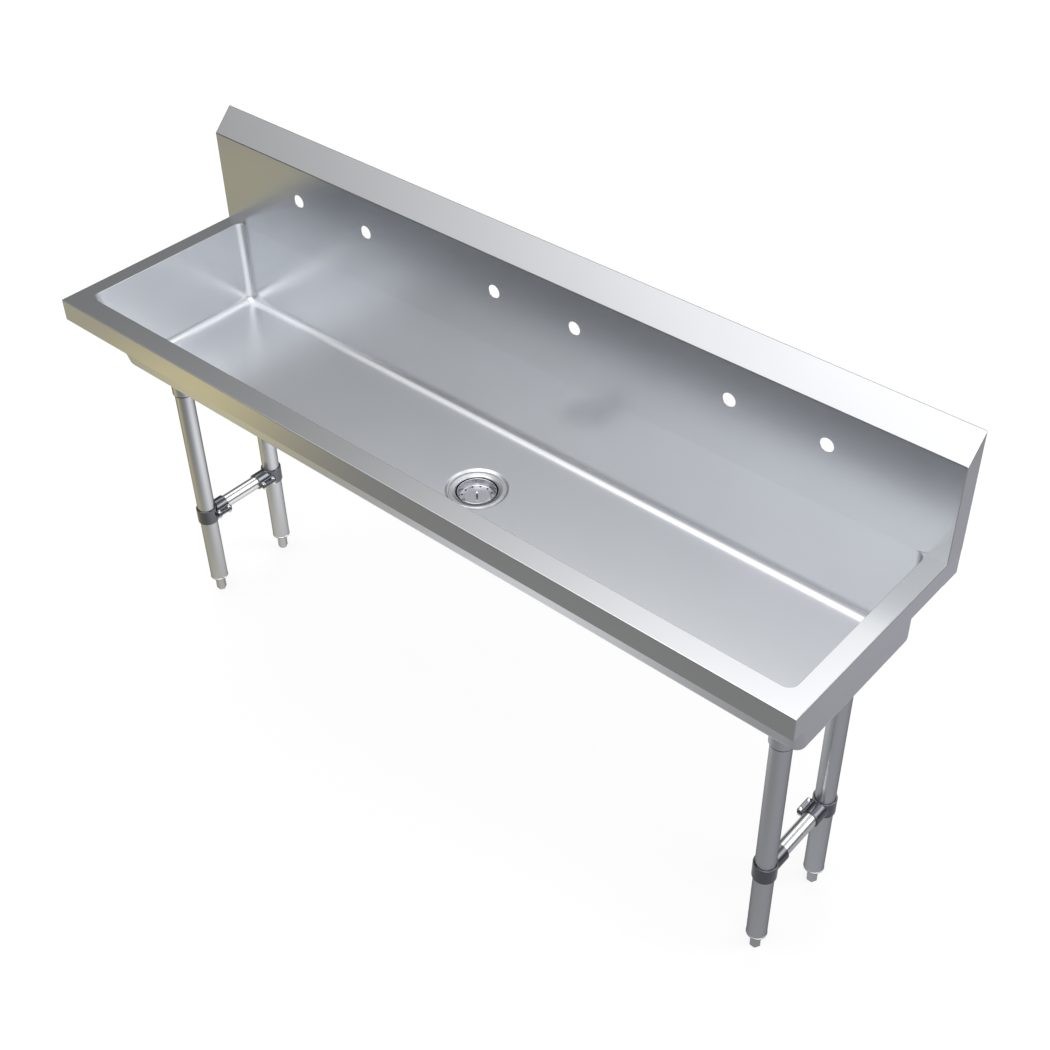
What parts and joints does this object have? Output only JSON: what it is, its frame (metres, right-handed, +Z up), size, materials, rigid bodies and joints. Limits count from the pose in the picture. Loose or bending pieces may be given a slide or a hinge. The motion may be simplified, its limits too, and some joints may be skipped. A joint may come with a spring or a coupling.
{
  "type": "trough sink",
  "caption": "Long stainless steel trough sink with a coved bowl, high backsplash with faucet hole pairs, basket drain, and tube legs with cross rails and levelling feet.",
  "frame": {"origin": "on the floor, below the middle of the sink's length and depth", "axes": "+X along the length to the right, +Y from the front edge to the wall, +Z up"},
  "size_m": [1.8288, 0.502, 1.1299],
  "materials": {
    "basin_steel": "satin, fine grain along the length",
    "under_steel": "mill finish, welded under the bowl",
    "leg_steel": "satin tube",
    "rail_steel": "bright tube",
    "foot_steel": "machined",
    "clamp_metal": "polished casting",
    "bright_steel": "bright",
    "dark_screw": "dull",
    "drain_steel": "polished pressing",
    "locknut_metal": "die cast",
    "card_ring": "fibre",
    "washer_plastic": "matt",
    "drain_rubber": "matt"
  },
  "bodies": {
    "sink": {"basin_wrap": "basin_steel", "left_basin_end": "basin_steel", "right_basin_end": "basin_steel", "backsplash": "basin_steel", "left_splash_cap": "basin_steel", "right_splash_cap": "basin_steel", "left_leg_plate": "under_steel", "right_leg_plate": "under_steel", "front_left_socket": "under_steel", "front_left_leg": "leg_steel", "front_left_plug": "bright_steel", "front_left_clamp": "clamp_metal", "front_right_socket": "under_steel", "front_right_leg": "leg_steel", "front_right_plug": "bright_steel", "front_right_clamp": "clamp_metal", "rear_left_socket": "under_steel", "rear_left_leg": "leg_steel", "rear_left_plug": "bright_steel", "rear_left_clamp": "clamp_metal", "rear_right_socket": "under_steel", "rear_right_leg": "leg_steel", "rear_right_plug": "bright_steel", "rear_right_clamp": "clamp_metal", "socket_screws": "dark_screw", "left_cross_rail": "rail_steel", "right_cross_rail": "rail_steel", "clamp_screws": "bright_steel", "clamp_nuts": "bright_steel", "strainer_body": "drain_steel", "tailpiece": "drain_steel", "strainer_gasket": "drain_rubber", "friction_ring": "card_ring", "locknut": "locknut_metal", "coupling_nut": "bright_steel", "outlet_washer": "washer_plastic"},
    "basket": {"basket_cup": "drain_steel", "basket_clip": "drain_steel"},
    "stopper": {"stopper_post": "drain_steel", "stopper_plate": "drain_steel", "stopper_seal": "drain_rubber"},
    "front_left_levelling_foot": {"front_left_foot": "foot_steel"},
    "front_right_levelling_foot": {"front_right_foot": "foot_steel"},
    "rear_left_levelling_foot": {"rear_left_foot": "foot_steel"},
    "rear_right_levelling_foot": {"rear_right_foot": "foot_steel"}
  },
  "joints": [
    {"name": "front_left_foot_screw", "type": "slide", "parent": "sink", "child": "front_left_levelling_foot", "axis": [0, 0, -1], "range_m": [0, 0.025]},
    {"name": "front_right_foot_screw", "type": "slide", "parent": "sink", "child": "front_right_levelling_foot", "axis": [0, 0, -1], "range_m": [0, 0.025]},
    {"name": "rear_left_foot_screw", "type": "slide", "parent": "sink", "child": "rear_left_levelling_foot", "axis": [0, 0, -1], "range_m": [0, 0.025]},
    {"name": "rear_right_foot_screw", "type": "slide", "parent": "sink", "child": "rear_right_levelling_foot", "axis": [0, 0, -1], "range_m": [0, 0.025]},
    {"name": "basket_lift", "type": "slide", "parent": "sink", "child": "basket", "axis": [0, 0, 1], "range_m": [0, 0.3]},
    {"name": "stopper_push", "type": "slide", "parent": "basket", "child": "stopper", "axis": [0, 0, -1], "range_m": [0, 0.008]}
  ]
}
